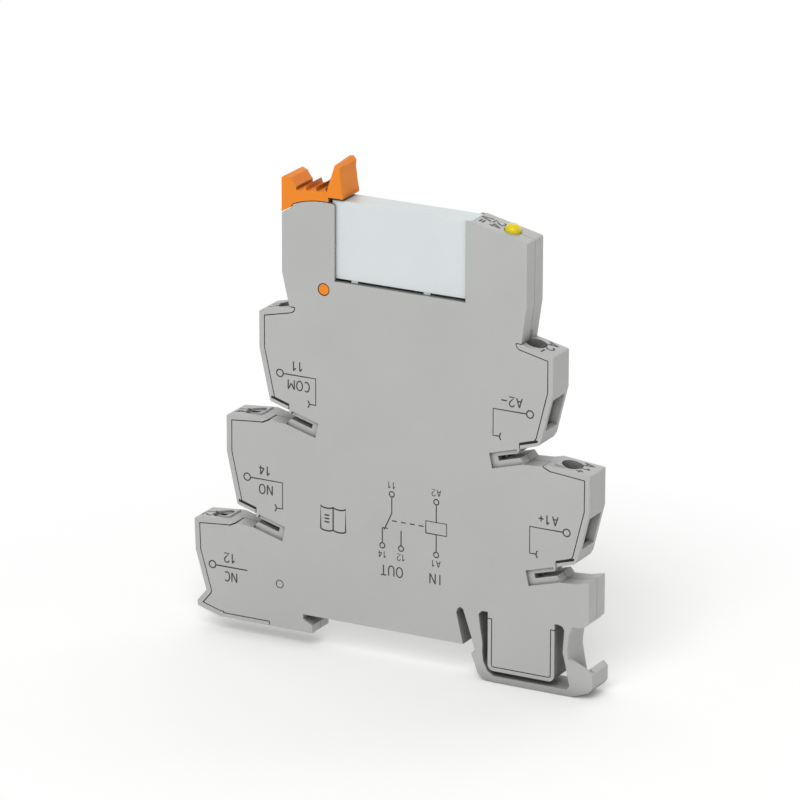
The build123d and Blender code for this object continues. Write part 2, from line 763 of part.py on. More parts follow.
with BuildPart() as actuator_card:
    box(blade_x - 0.9, armature_front + 0.7, -1.7, 1.7, card_z - 0.3, card_z + 0.3)
    for x, t in ((blade_x, blade_t), (armature_x, armature_t)):
        box(x - t / 2 - play, x + t / 2 + play, -leaf_w / 2 - play, leaf_w / 2 + play,
            card_z - 1, card_z + 1, Mode.SUBTRACT)
actuator_card.part.label = "actuator_card"

pieces = [front_shell, rear_shell, eject_lever, relay_case, relay_base, relay_bobbin,
          relay_winding, relay_core, relay_yoke, relay_armature, contact_nc, contact_no,
          common_pin, contact_blade, actuator_card]

for n, x in enumerate(pin_coil):
    with BuildPart() as coil_pin:
        box(x - pin_t / 2, x + pin_t / 2, -pin_w / 2, pin_w / 2, pin_foot, base_top + 1.6)
    coil_pin.part.label = f"coil_pin_{n + 1}"
    pieces.append(coil_pin)

# Terminals: screw, clamp and current bar of each
socket_z = bay_floor - socket_drop - finger / 2
slot_turns = {"11": 64, "14": 68, "12": 60, "a2": 35, "a1": 50}


def socket(x):
    # Two sprung fingers that take a relay pin
    for s in (-1, 1):
        near = x + s * (pin_t / 2 + running)
        far = near + s * finger
        box(min(near, far), max(near, far), -pin_w / 2 - 0.2, pin_w / 2 + 0.2,
            socket_z, socket_z + grip)
    reach = pin_t / 2 + running + finger
    box(x - reach, x + reach, -pin_w / 2 - 0.2, pin_w / 2 + 0.2,
        socket_z - finger, socket_z)


def bridge_branch(axis, side, sink):
    # From the current bar down across the bridging slot
    start = local(axis, side, 3.8, bar_top(sink) + bar_t / 2)
    x0 = axis[0] - side * branch_u
    x1 = axis[0] - side * bridge_u
    low = axis[1] + channel[3][1] - bridge_below
    path = [(x0, start[1]), (x0, axis[1] + branch_v), (x1, axis[1] + branch_v - 0.9), (x1, low)]
    layer(strip(path, bridge_t, 0.4), -bridge_w / 2, bridge_w / 2)


targets = {"11": pin_com, "14": pin_no, "12": pin_nc}
for name, axis, side, sink in terminals:
    with BuildPart() as screw:
        seat = sleeve_depth(sink)
        with BuildSketch(down_plane(axis, side, seat)) as head_disc:
            Circle(head_d / 2)
        extrude(head_disc.sketch, amount=head_t)
        fillet(screw.faces().sort_by(Axis.Z)[-1].edges(), radius=0.3)
        with BuildSketch(down_plane(axis, side, head_depth + sink)) as groove:
            Rectangle(head_d + 1, slot_w, rotation=slot_turns[name])
        extrude(groove.sketch, amount=-slot_depth, mode=Mode.SUBTRACT)
        with BuildSketch(down_plane(axis, side, bar_top(sink) - play)) as shank:
            Circle(shank_d / 2)
        extrude(shank.sketch, amount=bar_top(sink) - play - seat)
    screw.part.label = f"terminal_screw_{name}"
    pieces.append(screw)

    with BuildPart() as cage:
        top = sleeve_depth(sink) + travel + play
        end = cage_end(sink)
        layer(block(axis, side, -cage_l / 2, cage_l / 2, top, end), -cage_w / 2, cage_w / 2)
        layer(block(axis, side, -cage_l, cage_l, top + yoke_plate, end - jaw_t),
              -cage_in / 2, cage_in / 2, Mode.SUBTRACT)
        with BuildSketch(down_plane(axis, side, top + yoke_plate + 0.2)) as bore:
            Circle(shank_d / 2 + running)
        extrude(bore.sketch, amount=yoke_plate + 1, mode=Mode.SUBTRACT)
    cage.part.label = f"clamp_cage_{name}"
    pieces.append(cage)

    with BuildPart() as bar:
        mid = bar_top(sink) + bar_t / 2
        inner = local(axis, side, 3.8, mid)
        layer(straight(local(axis, side, -1.9, mid), inner, bar_t), -bar_w / 2, bar_w / 2)
        if name in targets:
            x = targets[name]
            y0 = run_y if name == "12" else -run_y - run_w
            run = [(inner[0] - 0.5, inner[1]), (x, inner[1]), (x, socket_z - finger / 2)]
            layer(strip(run, run_t, run_t), y0, y0 + run_w)
            socket(x)
        else:
            x = board[1][0] - 1.2
            layer(straight((inner[0] + 0.5, inner[1]), (x, inner[1]), run_t),
                  board_y - run_w, board_y)
        if name != "12":
            bridge_branch(axis, side, sink)
    bar.part.label = f"current_bar_{name}"
    pieces.append(bar)

# Board, lamp and the coil's sockets
with BuildPart() as circuit_board:
    layer(polygon(board), board_y, board_y + board_t)
circuit_board.part.label = "circuit_board"
pieces.append(circuit_board)

for n, x in enumerate(pin_coil):
    with BuildPart() as coil_socket:
        socket(x)
        box(x - 0.5, x + 0.5, -pin_w / 2 - 0.2, board_y, socket_z - finger - 2.2, socket_z)
    coil_socket.part.label = f"coil_socket_{n + 1}"
    pieces.append(coil_socket)

chips = {"board_diodes": [(12.0, 52.0), (12.0, 46.0)], "board_resistors": [(15.0, 39.0), (11.5, 33.0)],
         "suppressor": [(14.0, 28.0)]}
chip_size = {"board_diodes": (2.6, 4.2, 1.9), "board_resistors": (1.6, 3.2, 0.7),
             "suppressor": (5.0, 4.0, 2.1)}
for name, places in chips.items():
    w, h, t = chip_size[name]
    with BuildPart() as chip:
        for x, z in places:
            box(x - w / 2, x + w / 2, board_y - t, board_y, z - h / 2, z + h / 2)
    chip.part.label = name
    pieces.append(chip)

with BuildPart() as lamp_lens:
    # A domed light guide with a collar under the roof
    with BuildSketch(lamp_plane().offset(-wall - play)) as stem_disc:
        Circle(lamp_d / 2)
    extrude(stem_disc.sketch, amount=wall + play + 1.3)
    fillet(lamp_lens.faces().sort_by(Axis.Z)[-1].edges(), radius=lamp_d / 2 - 0.3)
    with BuildSketch(lamp_plane().offset(-wall - play)) as collar:
        Circle(lamp_flange / 2)
    extrude(collar.sketch, amount=-0.8)
    with BuildSketch(lamp_plane().offset(-wall - play - 0.8)) as guide:
        Circle(lamp_d / 2 - 0.4)
    extrude(guide.sketch, amount=-1.9)
lamp_lens.part.label = "lamp_lens"
pieces.append(lamp_lens)

with BuildPart() as lamp_chip:
    box(lamp_x - 1.7, lamp_x + 0.3, board_y - 2.2, board_y, 71.7, 73.6)
lamp_chip.part.label = "lamp_chip"
pieces.append(lamp_chip)

os.makedirs("parts", exist_ok=True)
for piece in pieces:
    export_step(piece.part, f"parts/{piece.part.label}.step")
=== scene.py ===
"""Slim relay module for a mounting rail: finishes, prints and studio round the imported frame."""

import json
from math import cos, pi, radians, sin

import bpy
from mathutils import Matrix, Vector


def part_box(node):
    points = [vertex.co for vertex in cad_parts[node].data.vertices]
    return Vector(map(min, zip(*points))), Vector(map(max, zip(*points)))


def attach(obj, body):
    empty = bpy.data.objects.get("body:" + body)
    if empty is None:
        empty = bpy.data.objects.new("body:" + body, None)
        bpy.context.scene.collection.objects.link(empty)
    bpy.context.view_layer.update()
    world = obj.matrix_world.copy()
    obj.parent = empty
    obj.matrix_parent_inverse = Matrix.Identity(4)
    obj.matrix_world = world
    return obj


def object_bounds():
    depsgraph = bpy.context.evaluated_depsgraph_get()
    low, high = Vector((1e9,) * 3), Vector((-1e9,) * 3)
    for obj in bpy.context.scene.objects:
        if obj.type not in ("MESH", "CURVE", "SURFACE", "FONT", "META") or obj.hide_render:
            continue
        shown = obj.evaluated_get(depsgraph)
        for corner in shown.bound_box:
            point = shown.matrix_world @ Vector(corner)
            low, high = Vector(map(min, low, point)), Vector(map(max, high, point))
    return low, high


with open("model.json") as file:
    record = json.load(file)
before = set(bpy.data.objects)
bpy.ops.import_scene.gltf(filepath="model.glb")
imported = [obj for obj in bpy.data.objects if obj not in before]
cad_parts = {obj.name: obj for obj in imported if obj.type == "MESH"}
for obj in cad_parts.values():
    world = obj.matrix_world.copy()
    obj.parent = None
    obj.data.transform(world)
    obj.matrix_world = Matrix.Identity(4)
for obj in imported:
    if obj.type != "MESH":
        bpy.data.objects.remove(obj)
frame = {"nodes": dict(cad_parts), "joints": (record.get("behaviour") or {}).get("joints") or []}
cad_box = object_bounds()
nodes = frame["nodes"]
scene = bpy.context.scene
MM = 0.001


# Places taken from the frame

BESIDE_SEAM = 0.3 * MM      # plumb lines fall here, as the shells meet at y = 0


def middle(node):
    """Middle of a CAD node's box."""
    low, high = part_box(node)
    return (low + high) / 2


def landing(x):
    """Where the housing's top is at x, on the seam, and which way its face looks."""
    start = Vector((x, BESIDE_SEAM, cad_box[1].z + 10 * MM))
    hits = []
    for shell in ("front_shell", "rear_shell"):
        found, place, normal, _ = nodes[shell].ray_cast(start, Vector((0, 0, -1)))
        if found:
            hits.append((place, normal))
    place, normal = max(hits, key=lambda hit: hit[0].z)
    return Vector((place.x, 0, place.z)), normal


FRONT_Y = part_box("front_shell")[0].y
FLOOR_Z = cad_box[0].z
SCREWS = {name: middle("terminal_screw_" + name) for name in ("11", "14", "12", "a2", "a1")}
JOINT_PLACES = {joint["name"]: Vector(joint["pos_m"]) for joint in frame["joints"] if "pos_m" in joint}
PIVOT = JOINT_PLACES["lever_swing"]


# Materials

SAMPLES = 6                                     # of the shader nodes that look round a place
MIX_FACTOR, MIX_FIRST, MIX_SECOND = 0, 6, 7     # sockets of a Mix node that mixes colours
MIX_COLOUR = 2


def tone(red, green, blue):
    """A colour read as it looks on a screen, 0 to 255, as the linear value that shaders take."""
    def linear(value):
        value = value / 255
        return value / 12.92 if value <= 0.04045 else ((value + 0.055) / 1.055) ** 2.4
    return (linear(red), linear(green), linear(blue), 1)


class Graph:
    """One material, with short calls that add a node and link it."""

    def __init__(self, name):
        self.material = bpy.data.materials.new(name)
        self.material.use_nodes = True
        self.tree = self.material.node_tree
        self.shader = self.tree.nodes["Principled BSDF"]
        self.place = self.add("ShaderNodeTexCoord").outputs["Object"]

    def put(self, node, key, value):
        """Links value to the node's socket where it is a socket itself, and sets it otherwise."""
        socket = node.inputs[key]
        if isinstance(value, bpy.types.NodeSocket):
            self.tree.links.new(value, socket)
        else:
            socket.default_value = value

    def add(self, kind, inputs=None, **settings):
        node = self.tree.nodes.new(kind)
        for key, value in settings.items():
            setattr(node, key, value)
        for key, value in (inputs or {}).items():
            self.put(node, key, value)
        return node

    def finish(self, **values):
        """Sets the shader's own sockets. An underscore in a name stands for a space."""
        for key, value in values.items():
            self.put(self.shader, key.replace("_", " "), value)
        return self.material

    def noise(self, grain, detail=2.0, stretch=(1, 1, 1)):
        """Noise whose spots are about grain across, in metres, and narrower along a stretched axis."""
        place = self.add("ShaderNodeMapping", {"Vector": self.place, "Scale": stretch}).outputs["Vector"]
        inputs = {"Vector": place, "Scale": 1 / grain, "Detail": detail}
        return self.add("ShaderNodeTexNoise", inputs).outputs["Fac"]

    def bands(self, pitch, axis, distortion=0.0):
        """Waves across one axis, pitch apart, in metres."""
        inputs = {"Vector": self.place, "Scale": 2 * pi / (20 * pitch), "Distortion": distortion,
                  "Detail": 1.0}
        return self.add("ShaderNodeTexWave", inputs, bands_direction=axis).outputs["Fac"]

    def between(self, value, low, high, start=0.3, end=0.7):
        """value, taken from start..end to low..high."""
        inputs = {"Value": value, "From Min": start, "From Max": end, "To Min": low, "To Max": high}
        return self.add("ShaderNodeMapRange", inputs).outputs["Result"]

    def combined(self, first, second, operation):
        return self.add("ShaderNodeMath", {0: first, 1: second}, operation=operation).outputs["Value"]

    def sum(self, first, second):
        return self.combined(first, second, "ADD")

    def product(self, first, second):
        return self.combined(first, second, "MULTIPLY")

    def shaded(self, colour, value):
        """colour, lighter or darker by value."""
        return self.add("ShaderNodeHueSaturation", {"Value": value, "Color": colour}).outputs["Color"]

    def mixed(self, amount, first, second):
        inputs = {MIX_FACTOR: amount, MIX_FIRST: first, MIX_SECOND: second}
        return self.add("ShaderNodeMix", inputs, data_type="RGBA").outputs[MIX_COLOUR]

    def rounded(self, radius):
        """The normal as if every edge had this radius, and how near an edge the place is."""
        soft = self.add("ShaderNodeBevel", {"Radius": radius}, samples=SAMPLES).outputs["Normal"]
        flat = self.add("ShaderNodeNewGeometry").outputs["Normal"]
        turn = self.add("ShaderNodeVectorMath", {0: soft, 1: flat}, operation="DOT_PRODUCT")
        return soft, self.between(turn.outputs["Value"], 1.0, 0.0, start=0.72, end=0.99)

    def painted_hollow_shade(self, least, reach=5 * MM):
        """Painted shade: 1 in the open, and down to least deep in a hole or a groove, where shade falls."""
        shade = self.add("ShaderNodeAmbientOcclusion", {"Distance": reach}, samples=SAMPLES)
        return self.between(shade.outputs["AO"], least, 1.0, start=0.2, end=0.8)

    def relief(self, height, depth, strength, normal):
        inputs = {"Height": height, "Distance": depth, "Strength": strength, "Normal": normal}
        return self.add("ShaderNodeBump", inputs).outputs["Normal"]


def moulded_plastic(name, colour, roughness=0.45, edge_highlight=0.15, edge=0.13 * MM, grain=0.16 * MM,
                    gloss=0.3):
    """Moulded plastic: a fine eroded texture, faint clouds in its colour, and a painted highlight that makes
    the edges a little lighter.
    """
    cloud, fleck, rubbed = 14 * MM, 0.35 * MM, 6 * MM
    darkest_painted_shade = 0.26
    texture_depth = 0.012 * MM
    g = Graph(name)
    rounded, near_edge = g.rounded(edge)
    clouds = g.between(g.noise(cloud, detail=3), 0.97, 1.02)
    flecks = g.between(g.noise(fleck), -0.012, 0.012)
    # painted highlight: the colour is lighter near the edges
    value = g.sum(g.sum(clouds, flecks), g.product(near_edge, edge_highlight))
    # painted shade: the colour darkens in holes and grooves
    value = g.product(value, g.painted_hollow_shade(darkest_painted_shade))
    texture = g.noise(grain, detail=3)
    rub = g.noise(rubbed, detail=4, stretch=(1, 1, 2.5))
    return g.finish(Base_Color=g.shaded(tone(*colour), value),
                    Roughness=g.between(rub, roughness - 0.06, roughness + 0.07),
                    Specular_IOR_Level=gloss, Normal=g.relief(texture, texture_depth, 0.35, rounded))


def sheet_metal(name, colour, roughness=0.28, grain=0.5 * MM, stretch=(1, 1, 14), darkest_painted_shade=0.3):
    """Plated sheet: rolled streaks along one axis, faint stains, and a painted highlight that makes the edges
    bright.
    """
    edge, stain = 0.05 * MM, 3 * MM
    streak_depth = 0.01 * MM
    g = Graph(name)
    rounded, near_edge = g.rounded(edge)
    streaks = g.noise(grain, detail=5, stretch=stretch)
    stains = g.noise(stain, detail=3)
    # faint stains, and a painted highlight that lightens the colour near the edges
    value = g.sum(g.between(stains, 0.86, 1.04), g.product(near_edge, 0.15))
    # painted shade: the colour darkens in holes and grooves
    value = g.product(value, g.painted_hollow_shade(darkest_painted_shade))
    return g.finish(Base_Color=g.shaded(tone(*colour), value), Metallic=1.0,
                    Roughness=g.between(streaks, roughness - 0.1, roughness + 0.12),
                    Normal=g.relief(streaks, streak_depth, 0.3, rounded))


def wound_wire():
    """Lacquered copper wire in close turns along the bobbin."""
    wire_pitch, wire_depth, edge = 0.12 * MM, 0.05 * MM, 0.04 * MM
    g = Graph("copper_winding")
    turns = g.bands(wire_pitch, "X", distortion=0.4)
    value = g.sum(g.between(turns, 0.55, 1.08, start=0.0, end=1.0), g.between(g.noise(2 * MM), -0.06, 0.06))
    return g.finish(Base_Color=g.shaded(tone(196, 104, 56), value), Metallic=0.85,
                    Roughness=g.between(g.noise(0.8 * MM), 0.22, 0.36), Coat_Weight=0.4,
                    Normal=g.relief(turns, wire_depth, 0.8, g.rounded(edge)[0]))


def circuit_board():
    """Green lacquer over copper runs, with the glass weave just showing."""
    run_pitch, weave_pitch = 2.1 * MM, 0.5 * MM
    lacquer_depth, edge = 0.02 * MM, 0.05 * MM
    g = Graph("green_board")
    runs = g.between(g.bands(run_pitch, "X", distortion=1.5), 0.0, 1.0, start=0.62, end=0.66)
    weave = g.product(g.bands(weave_pitch, "X"), g.bands(weave_pitch, "Z"))
    lacquer = g.mixed(runs, tone(22, 84, 52), tone(48, 122, 70))
    return g.finish(Base_Color=g.shaded(lacquer, g.between(weave, 0.93, 1.05, start=0.0, end=1.0)),
                    Roughness=g.between(g.noise(1.5 * MM), 0.26, 0.36),
                    Normal=g.relief(g.sum(runs, weave), lacquer_depth, 0.4, g.rounded(edge)[0]))


def lamp_plastic():
    """Yellow plastic that lets a little light in, with a smooth skin and faint clouding."""
    light_reach = 0.6 * MM
    g = Graph("yellow_lens")
    clouds = g.between(g.noise(1.2 * MM, detail=3), 0.94, 1.04)
    return g.finish(Base_Color=g.shaded(tone(222, 202, 2), clouds),
                    Roughness=g.between(g.noise(0.8 * MM), 0.16, 0.2), IOR=1.5, Specular_IOR_Level=0.3,
                    Subsurface_Weight=0.1, Subsurface_Radius=(1.0, 0.8, 0.1), Subsurface_Scale=light_reach)


def print_ink():
    """Dark grey laser marking, a little uneven where the plastic foamed."""
    g = Graph("print_ink")
    patches = g.between(g.noise(0.25 * MM, detail=3), 0.82, 1.22)
    return g.finish(Base_Color=g.shaded(tone(52, 52, 51), patches),
                    Roughness=g.between(g.noise(0.3 * MM), 0.5, 0.65))


def deep_shade():
    """Painted shade: a dark skin on the face over a narrow slit or gap, where hardly any light comes."""
    g = Graph("deep_shade")
    patches = g.between(g.noise(0.6 * MM), 0.85, 1.15)
    return g.finish(Base_Color=g.shaded(tone(46, 46, 45), patches), Roughness=0.7, Specular_IOR_Level=0.1)


grey_plastic = moulded_plastic("grey_plastic", (176, 177, 175))
orange_plastic = moulded_plastic("orange_plastic", (231, 134, 42), roughness=0.42, gloss=0.12)
white_plastic = moulded_plastic("white_plastic", (208, 214, 215), roughness=0.34, edge=0.15 * MM)
# black plastic and resin get a stronger painted highlight on their edges
black_plastic = moulded_plastic("black_plastic", (38, 38, 40), roughness=0.4, edge_highlight=0.35)
chip_resin = moulded_plastic("chip_resin", (30, 30, 31), roughness=0.5, edge_highlight=0.5, grain=0.1 * MM)
lamp_chip_cup = moulded_plastic("lamp_chip_cup", (228, 226, 214), roughness=0.35)
nickel_steel = sheet_metal("nickel_steel", (196, 192, 182), stretch=(14, 1, 1))
plated_steel = sheet_metal("plated_steel", (206, 207, 208), roughness=0.3)
screw_steel = sheet_metal("screw_steel", (126, 127, 128), roughness=0.52, grain=0.3 * MM, stretch=(1, 1, 3))
# the tinned brass gets less painted shade in its hollows, so the bars show in the slots
tinned_brass = sheet_metal("tinned_brass", (214, 210, 198), roughness=0.25, darkest_painted_shade=0.75)
spring_bronze = sheet_metal("spring_bronze", (204, 160, 96), roughness=0.25)
ink = print_ink()
slit_shade = deep_shade()


def one_each(node):
    """The names of a node that every terminal has."""
    return tuple(node + name for name in SCREWS)


FINISHES = {
    grey_plastic: ("front_shell", "rear_shell"),
    orange_plastic: ("eject_lever",),
    white_plastic: ("relay_case",),
    black_plastic: ("relay_base", "relay_bobbin", "actuator_card"),
    chip_resin: ("board_diodes", "board_resistors", "suppressor"),
    wound_wire(): ("relay_winding",),
    nickel_steel: ("relay_core", "relay_yoke", "relay_armature"),
    spring_bronze: ("contact_nc", "contact_no", "contact_blade"),
    tinned_brass: ("common_pin", "coil_pin_1", "coil_pin_2", "coil_socket_1", "coil_socket_2")
    + one_each("current_bar_"),
    screw_steel: one_each("terminal_screw_"),
    plated_steel: one_each("clamp_cage_"),
    circuit_board(): ("circuit_board",),
    lamp_plastic(): ("lamp_lens",),
    lamp_chip_cup: ("lamp_chip",),
}
for finish, names in FINISHES.items():
    for name in names:
        nodes[name].data.materials.clear()
        nodes[name].data.materials.append(finish)


# Prints, each a skin of ink on the face that it marks

INK_DEPTH = 0.008 * MM
LINE = 0.26 * MM            # width of the common stroke
BOLD = 0.41 * MM            # width of the strokes on the top faces
LETTER = 1.8 * MM           # heights of capitals
DIGITS = 1.75 * MM
TOP_DIGITS = 2.2 * MM
LETTER_WIDTH = 0.94         # how narrow the lettering runs
LEAST_WIDTH = 0.5           # room for a narrow character and the gap after each, in shares of the height
LETTER_GAP = 0.28
SHARP = 5                   # a stroke with no more points than this has corners, and is drawn leg by leg

# The front face is read from above, so its prints stand upside down
FRONT_PRINT = Matrix(((-1, 0, 0), (0, 0, -1), (0, -1, 0))).transposed().to_4x4()


def top_print(normal):
    """Turn of a label on a top face: it reads towards the front, with its letters' tops to the right."""
    along = Vector((0, -1, 0))
    return Matrix((along, normal.cross(along), normal)).transposed().to_4x4()


def bow(x, y, wide, high, start, end, count=12):
    """Points of an arc of an ellipse, angles in degrees from +x towards +y."""
    angles = [radians(start + (end - start) * i / count) for i in range(count + 1)]
    return [(x + wide * cos(a), y + high * sin(a)) for a in angles]


def ring(x, z, radius):
    return bow(x, z, radius, radius, 0, 360, count=24)


def oblong(x, z, wide, high):
    """A closed rectangle about (x, z)."""
    left, right, low, top = x - wide / 2, x + wide / 2, z - high / 2, z + high / 2
    return [(left, low), (right, low), (right, top), (left, top), (left, low)]


# The strokes of each character, in shares of its height
STROKES = {
    "1": [[(0, 0.7), (0.28, 1), (0.28, 0)]],
    "2": [bow(0.29, 0.7, 0.29, 0.3, 165, -38) + [(0, 0), (0.6, 0)]],
    "4": [[(0.44, 0), (0.44, 1), (0, 0.27), (0.62, 0.27)]],
    "A": [[(0, 0), (0.33, 1), (0.66, 0)], [(0.11, 0.33), (0.55, 0.33)]],
    "C": [bow(0.34, 0.5, 0.34, 0.5, 52, 308)],
    "I": [[(0, 0), (0, 1)]],
    "M": [[(0, 0), (0, 1), (0.37, 0.35), (0.74, 1), (0.74, 0)]],
    "N": [[(0, 0), (0, 1), (0.6, 0), (0.6, 1)]],
    "O": [bow(0.35, 0.5, 0.35, 0.5, 0, 360)],
    "T": [[(0, 1), (0.62, 1)], [(0.31, 1), (0.31, 0)]],
    "U": [[(0, 1)] + bow(0.3, 0.32, 0.3, 0.32, 180, 360) + [(0.6, 1)]],
    "V": [[(0, 1), (0.32, 0), (0.64, 1)]],
    "+": [[(0, 0.45), (0.62, 0.45)], [(0.31, 0.14), (0.31, 0.76)]],
    "-": [[(0, 0.45), (0.7, 0.45)]],
    "=": [[(0, 0.6), (0.6, 0.6)], [(0, 0.34), (0.6, 0.34)]],
}


def drawn(name, runs, at, turn, width=LINE, material=ink):
    """Lines with round ends, flat on the face at this place and turn. Each run is a list of (x, y)."""
    data = bpy.data.curves.new(name, "CURVE")
    data.dimensions = "3D"
    data.bevel_depth = width / 2
    data.bevel_resolution = 2
    data.use_fill_caps = True
    data.materials.append(material)
    for points in runs:
        spline = data.splines.new("POLY")
        spline.points.add(len(points) - 1)
        for point, (x, y) in zip(spline.points, points):
            point.co = (x, y, 0, 1)
    piece = bpy.data.objects.new(name, data)
    flattened = Matrix.Diagonal((1, 1, 2 * INK_DEPTH / width, 1))
    piece.matrix_world = Matrix.Translation(at) @ turn @ flattened
    scene.collection.objects.link(piece)
    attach(piece, "housing")


def words(name, text, at, turn, height=LETTER, width=LINE):
    """A line of stroke lettering, centred on at, with capitals of this height."""
    runs = []
    pen = 0
    for letter in text:
        strokes = STROKES[letter]
        wide = max(x for stroke in strokes for x, y in stroke)
        space = max(0, LEAST_WIDTH - wide) / 2
        for stroke in strokes:
            points = [(pen + space + x, y - 0.5) for x, y in stroke]
            runs += zip(points, points[1:]) if len(points) <= SHARP else [points]
        pen += wide + 2 * space + LETTER_GAP
    half = (pen - LETTER_GAP) / 2
    scaled = [[((x - half) * height * LETTER_WIDTH, y * height) for x, y in run] for run in runs]
    drawn(name, scaled, at, turn, width)


def front_words(name, text, x, z, height=LETTER, width=LINE):
    """Lettering on the front face, centred on this x and z of the module."""
    words(name, text, Vector((x, FRONT_Y, z)), FRONT_PRINT, height, width)


def front_lines(name, runs, width=LINE, material=ink):
    """Lines on the front face, given as (x, z) points of the module."""
    turned = [[(-x, -z) for x, z in run] for run in runs]
    drawn(name, turned, Vector((0, FRONT_Y, 0)), FRONT_PRINT, width, material)


def top_words(name, text, x):
    """Bold lettering across the top face that lies under this x."""
    place, normal = landing(x)
    words(name, text, place, top_print(normal), TOP_DIGITS, BOLD)


# Each terminal's contact symbol, with the pin's number over it and what the pin does under it

PIN_RING = 0.68 * MM
RUN = 7.3 * MM              # from the ring towards the middle of the module
DROP = 5.0 * MM             # from there down to the fork
STUB = 1.3 * MM             # from there back to the fork
FORK = 0.85 * MM
NUMBER_RISE = 1.75 * MM
ROLE_DROP = 1.85 * MM
ROLE_SHIFT = 0.2 * MM


def contact_symbol(name, x, z, side, drop):
    """A ring, a run towards the middle of the module, and where it drops, an open fork at its end."""
    corner = x - side * RUN
    run = [(x - side * PIN_RING, z), (corner, z)]
    runs = [ring(x, z, PIN_RING), run]
    if drop:
        stub = corner + side * STUB
        run += [(corner, z - drop), (stub, z - drop)]
        runs.append(bow(stub + side * FORK, z - drop, FORK, FORK, 90 + side * 40, 90 + side * 140))
    front_lines("symbol_" + name, runs)


LEFT, RIGHT = -1, 1
LABEL_OUT = 3.35 * MM       # from the screw's middle outwards to the label on the top face

# Places on the front face, from the middle of the terminal's screw
LEFT_RING = Vector((-0.857, 0, -8.025)) * MM
LOWEST_RING = Vector((-1.357, 0, -5.276)) * MM
RIGHT_RING = Vector((1.429, 0, -6.51)) * MM
LEFT_SLIT = Vector((-2.607, 0, -12.785)) * MM, Vector((0.843, 0, -13.795)) * MM
RIGHT_SLIT = Vector((2.929, 0, -11.32)) * MM, Vector((-0.521, 0, -12.33)) * MM

PINS = (
    ("11", "11", "COM", LEFT, LEFT_RING, DROP),
    ("14", "14", "NO", LEFT, LEFT_RING, DROP),
    ("12", "12", "NC", LEFT, LOWEST_RING, 0),
    ("a2", "A2-", "", RIGHT, RIGHT_RING, DROP),
    ("a1", "A1+", "", RIGHT, RIGHT_RING, DROP),
)
for pin, label, role, side, from_screw, drop in PINS:
    at = SCREWS[pin] + from_screw
    contact_symbol(pin, at.x, at.z, side, drop)
    halfway = at.x - side * RUN / 2
    front_words("pin_" + pin, label, halfway, at.z + NUMBER_RISE, DIGITS)
    if role:
        front_words("role_" + pin, role, halfway + ROLE_SHIFT, at.z - ROLE_DROP)
    top_words("top_" + pin, label, SCREWS[pin].x + side * LABEL_OUT)


# Painted shade: dark strips over the slit at each bridged terminal's lower edge, and a dark ring round the
# lever's pin

SLIT_SHADE_LINE = 0.46 * MM
PIN_GAP_SHADE_RADIUS = 1.12 * MM
PIN_GAP_SHADE_LINE = 0.16 * MM

SLITS = {"11": LEFT_SLIT, "14": LEFT_SLIT, "a2": RIGHT_SLIT, "a1": RIGHT_SLIT}
for pin, ends in SLITS.items():
    slit = [(SCREWS[pin].x + end.x, SCREWS[pin].z + end.z) for end in ends]
    # painted shade: a dark strip laid over each slit
    front_lines("slit_" + pin, [slit], SLIT_SHADE_LINE, slit_shade)
# painted shade: a dark ring over the small gap round the lever's pin
front_lines("pivot_gap_shade", [ring(PIVOT.x, PIVOT.z, PIN_GAP_SHADE_RADIUS)], PIN_GAP_SHADE_LINE, slit_shade)


# The supply, on the roof beside the lamp

LAMP_X = middle("lamp_lens").x
VOLTS_OUT, UNIT_OUT = 2.65 * MM, 5.2 * MM

top_words("roof_2", "24", LAMP_X - VOLTS_OUT)
top_words("roof_V", "V=", LAMP_X - UNIT_OUT)


# Signs on the front face

PIP_X, PIP_Z, PIP_RADIUS = -22.4 * MM, 5.0 * MM, 0.72 * MM
BOOK_X, BOOK_Z = -11.35 * MM, 19.45 * MM
SIGN_X, SIGN_Z = 5.0 * MM, 21.0 * MM
PIP_LINE, BOOK_LINE, SIGN_LINE = 0.19 * MM, 0.3 * MM, 0.24 * MM


def open_book(x, z, wide=5.1 * MM, high=4.3 * MM, swell=0.4 * MM):
    """Two facing pages with arched edges, and lines of text on one of them."""
    low, top = z - high / 2, z + high / 2
    leaf = wide / 2
    runs = [[(x, low), (x, top)]]
    for side in (LEFT, RIGHT):
        page = bow(x + side * leaf / 2, low, side * leaf / 2, -swell, 180, 0)
        page += bow(x + side * leaf / 2, top, side * leaf / 2, -swell, 0, 180)
        runs.append(page)
    for share in (0.3, 0.45, 0.6):
        level = low + share * high
        runs.append([(x - 0.7 * leaf, level), (x - 0.3 * leaf, level)])
    front_lines("book_sign", runs, BOOK_LINE)


